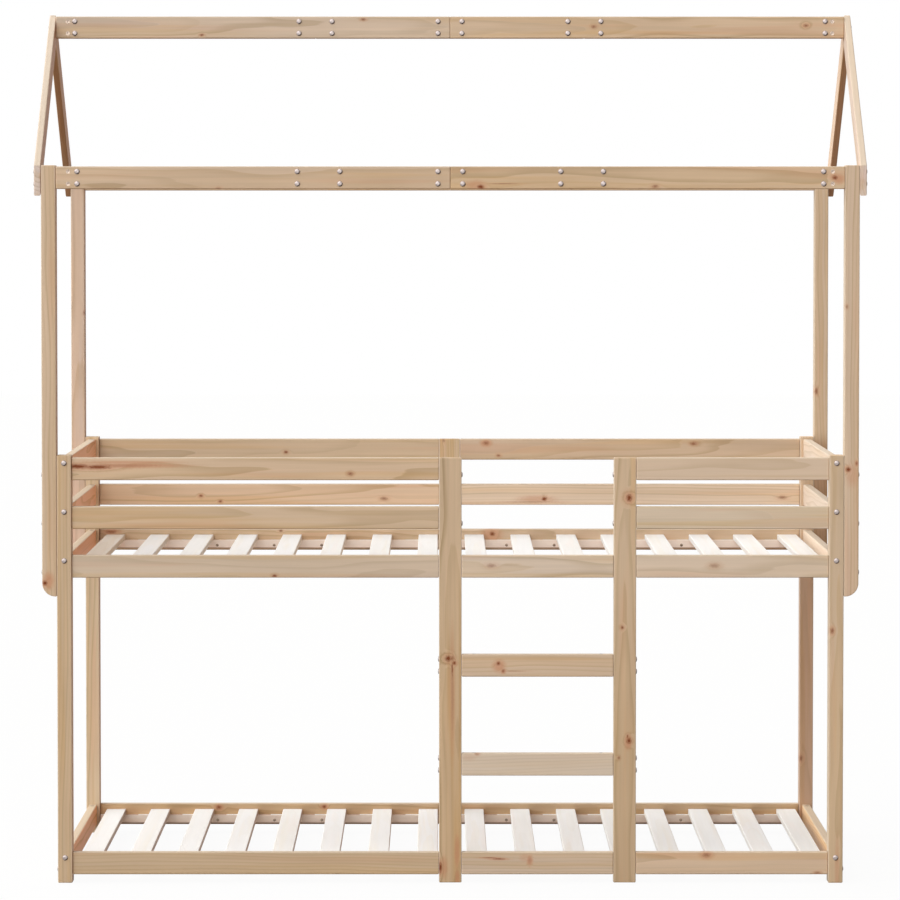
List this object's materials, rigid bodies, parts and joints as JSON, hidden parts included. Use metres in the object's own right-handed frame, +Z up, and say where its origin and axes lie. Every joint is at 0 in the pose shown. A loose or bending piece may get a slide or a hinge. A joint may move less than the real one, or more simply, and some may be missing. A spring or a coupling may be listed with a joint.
{
  "type": "bunk bed",
  "caption": "House-shaped bunk bed of pine: two bunks on slats, guard rails, a ladder in the front side and an open pitched roof frame over the upper bunk.",
  "frame": {"origin": "on the floor, at the middle of the bed's length and depth", "axes": "+X along the bed to the right as seen from the ladder side, +Y to the rear side, +Z up; the ladder side faces -Y"},
  "size_m": [2.2092, 0.98, 2.3309],
  "materials": {
    "post_pine": "planed, unfinished",
    "rail_pine": "planed, unfinished",
    "roof_pine": "planed, unfinished",
    "slat_pine": "planed, unfinished"
  },
  "bodies": {
    "root": {"corner_post_front_left": "post_pine", "corner_post_front_right": "post_pine", "corner_post_rear_left": "post_pine", "corner_post_rear_right": "post_pine", "ladder_post_left": "post_pine", "ladder_post_right": "post_pine", "rear_centre_post": "post_pine", "roof_post_front_left": "post_pine", "roof_post_front_right": "post_pine", "roof_post_rear_left": "post_pine", "roof_post_rear_right": "post_pine", "ladder_rung_1": "rail_pine", "ladder_rung_2": "rail_pine", "lower_rail_front_left": "rail_pine", "lower_rail_front_middle": "rail_pine", "lower_rail_front_right": "rail_pine", "lower_rail_rear_left": "rail_pine", "lower_rail_end_left": "rail_pine", "lower_rail_rear_right": "rail_pine", "lower_rail_end_right": "rail_pine", "bunk_rail_front_left": "rail_pine", "bunk_rail_front_middle": "rail_pine", "bunk_rail_front_right": "rail_pine", "bunk_rail_rear_left": "rail_pine", "bunk_rail_end_left": "rail_pine", "bunk_rail_rear_right": "rail_pine", "bunk_rail_end_right": "rail_pine", "mid_guard_front_left": "rail_pine", "mid_guard_front_right": "rail_pine", "mid_guard_rear_left": "rail_pine", "mid_guard_end_left": "rail_pine", "mid_guard_rear_right": "rail_pine", "mid_guard_end_right": "rail_pine", "top_guard_front_left": "rail_pine", "top_guard_front_right": "rail_pine", "top_guard_rear_left": "rail_pine", "top_guard_end_left": "rail_pine", "top_guard_rear_right": "rail_pine", "top_guard_end_right": "rail_pine", "lower_slat_base_left": "slat_pine", "lower_slat_base_right": "slat_pine", "upper_slat_base_left": "slat_pine", "upper_slat_base_right": "slat_pine", "rafter_front_left": "roof_pine", "rafter_front_right": "roof_pine", "rafter_rear_left": "roof_pine", "rafter_rear_right": "roof_pine", "front_eave_beam_face_left": "roof_pine", "front_eave_beam_face_right": "roof_pine", "front_eave_beam_backing_left": "roof_pine", "front_eave_beam_backing_middle": "roof_pine", "front_eave_beam_backing_right": "roof_pine", "rear_eave_beam_face_left": "roof_pine", "rear_eave_beam_face_right": "roof_pine", "rear_eave_beam_backing": "roof_pine", "ridge_beam_face_left": "roof_pine", "ridge_beam_face_right": "roof_pine", "ridge_beam_backing_left": "roof_pine", "ridge_beam_backing_middle": "roof_pine", "ridge_beam_backing_right": "roof_pine"}
  },
  "joints": []
}
